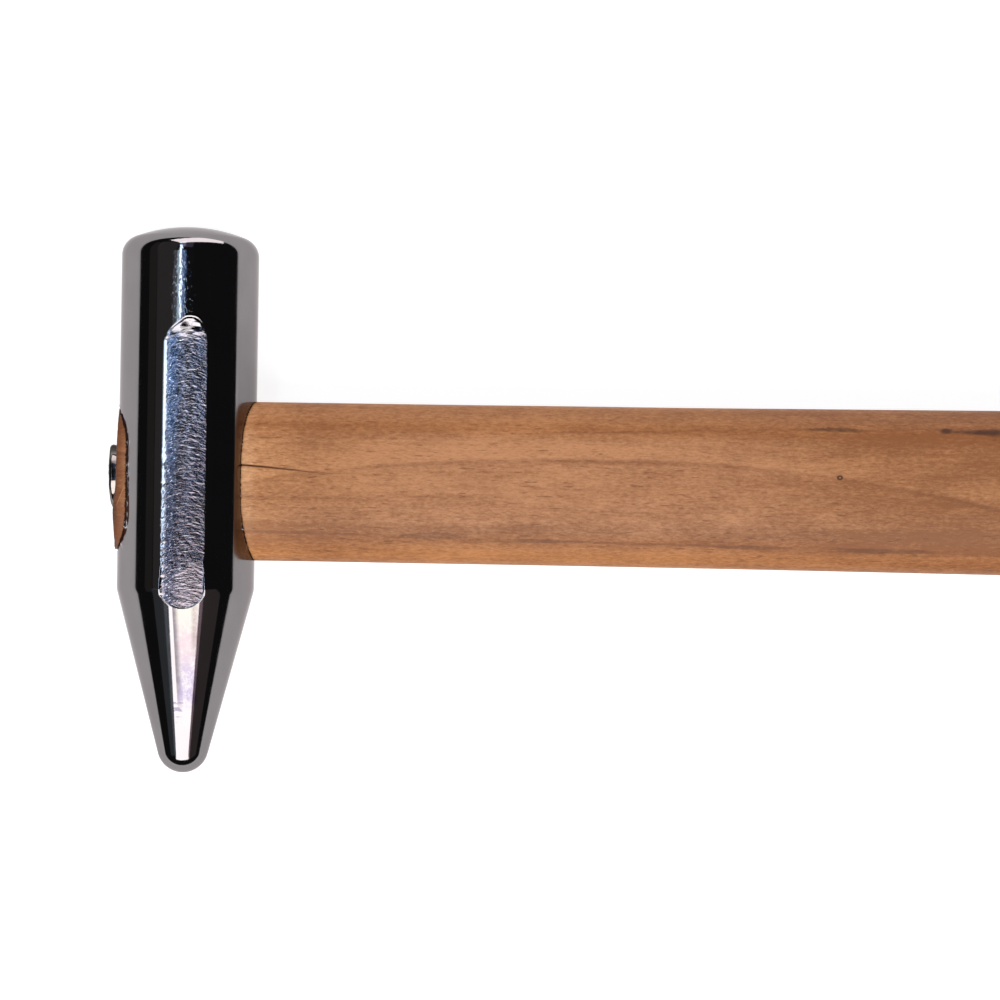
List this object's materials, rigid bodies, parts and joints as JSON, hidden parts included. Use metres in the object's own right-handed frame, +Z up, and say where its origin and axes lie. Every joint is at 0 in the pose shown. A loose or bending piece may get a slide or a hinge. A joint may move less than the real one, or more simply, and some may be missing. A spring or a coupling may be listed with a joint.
{
  "type": "auto body hammer",
  "caption": "Panel-beating hammer: round steel head with a domed face and a bullet-nosed pick, ground cheeks, wedged on a straight beech handle.",
  "frame": {"origin": "on the lower cheek flat, under the centre of the eye", "axes": "+X along the handle to its butt, +Y along the head to the domed face, +Z up, square to the cheek flats; the hammer lies on its side"},
  "size_m": [0.3211, 0.0992, 0.025],
  "materials": {
    "head_steel": "bright plated steel, polished, with rough-ground cheek flats",
    "handle_beech": "bare sanded beech, thinly oiled",
    "wedge_wood": "bare split beech",
    "wedge_steel": "bright turned steel, bruised where it was struck"
  },
  "bodies": {
    "root": {"hammer_head": "head_steel", "handle": "handle_beech", "kerf_wedge": "wedge_wood", "ring_wedge": "wedge_steel"}
  },
  "joints": []
}
